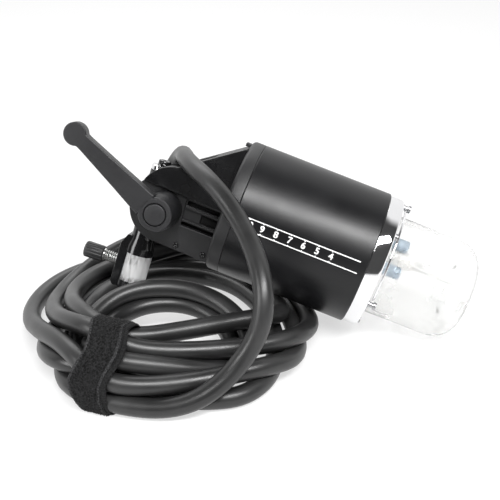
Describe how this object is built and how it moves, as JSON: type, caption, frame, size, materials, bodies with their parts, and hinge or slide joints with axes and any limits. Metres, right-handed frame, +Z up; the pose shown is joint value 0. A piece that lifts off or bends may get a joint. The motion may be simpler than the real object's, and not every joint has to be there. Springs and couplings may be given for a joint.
{
  "type": "flash lamp head",
  "caption": "Studio flash lamp head with glass dome, tilting stand adapter, clamping lever and strapped coil of lamp cable, lying on a table.",
  "frame": {"origin": "centre of the underside of the head's bounding box as it lies on the table, without the free cable and what is on it", "axes": "+X the way the head's nose points across the table, +Y away from the clamping lever's side, +Z up"},
  "size_m": [0.3437, 0.2713, 0.158],
  "materials": {
    "black_paint": "satin",
    "black_plastic": "fine texture",
    "chrome": "polished",
    "white_ceramic": "satin",
    "frosted_glass": "frosted",
    "clear_glass": "polished",
    "blue_grey": "satin",
    "gloss_black": "gloss",
    "lever_grey": "satin",
    "steel": "brushed",
    "board": "satin",
    "cable_rubber": "matte",
    "strap_fabric": "woven",
    "plug_metal": "anodised"
  },
  "bodies": {
    "head": {"barrel_tube": "black_paint", "rear_cap": "black_plastic", "front_ring": "chrome", "mounting_plate": "white_ceramic", "terminal_board": "board", "tie_rods": "steel", "trigger_coil": "board", "fan_frame": "black_plastic", "glass_dome": "frosted_glass", "lamp_socket": "white_ceramic", "modelling_lamp": "clear_glass", "tube_sockets": "blue_grey", "flash_tube": "clear_glass", "dome_posts": "chrome", "dome_wires": "chrome", "housing_web": "black_plastic", "cheek_near": "black_plastic", "vents_near": "black_plastic", "wedge_near": "black_plastic", "cheek_far": "black_plastic", "vents_far": "black_plastic", "wedge_far": "black_plastic", "cover_screws": "steel", "cable_gland": "black_plastic", "strain_relief": "cable_rubber", "friction_discs": "black_plastic", "tilt_nut": "steel", "bolt_bush": "steel", "cable_bridge": "cable_rubber", "cable_coil": "cable_rubber", "strap": "strap_fabric", "cable_tail": "cable_rubber", "plug_body": "gloss_black"},
    "adapter": {"stand_adapter": "gloss_black", "adapter_collar": "chrome", "adapter_cap": "gloss_black"},
    "lever": {"lever": "lever_grey", "lever_cap": "lever_grey", "tilt_bolt": "steel"},
    "lock_slide": {"spring_washer": "steel", "lock_spring": "steel"},
    "lock": {"lock_screw": "steel", "lock_knob": "black_plastic"},
    "fan": {"fan_rotor": "black_plastic"},
    "plug_ring": {"plug_ring": "plug_metal"}
  },
  "joints": [
    {"name": "head_tilt", "type": "hinge", "parent": "head", "child": "adapter", "pos_m": [-0.0793, 0.01671, 0.0849], "axis": [-0.1191, -0.9559, 0.2685], "range_deg": [-12, 40]},
    {"name": "lever_turn", "type": "hinge", "parent": "head", "child": "lever", "pos_m": [-0.0793, 0.01671, 0.0849], "axis": [-0.1191, -0.9559, 0.2685], "range_deg": [0, 75]},
    {"name": "lock_travel", "type": "slide", "parent": "adapter", "child": "lock_slide", "axis": [-0.9478, 0.19, 0.256], "range_m": [0, 0.0025]},
    {"name": "lock_turn", "type": "hinge", "parent": "lock_slide", "child": "lock", "pos_m": [-0.12993, 0.01213, 0.04614], "axis": [-0.9478, 0.19, 0.256], "range_deg": [0, 721]},
    {"name": "fan_spin", "type": "hinge", "parent": "head", "child": "fan", "pos_m": [-0.02375, 0.0098, 0.08495], "axis": [0.9292, -0.2026, -0.309], "continuous": true},
    {"name": "plug_ring_turn", "type": "hinge", "parent": "head", "child": "plug_ring", "pos_m": [0.018, 0.098, 0.0192], "axis": [0.9829, 0.1843, 0], "range_deg": [0, 60]}
  ],
  "couplings": [
    {"joint": "lock_turn", "follows": "lock_travel", "rad_per_m": 5026.5}
  ]
}
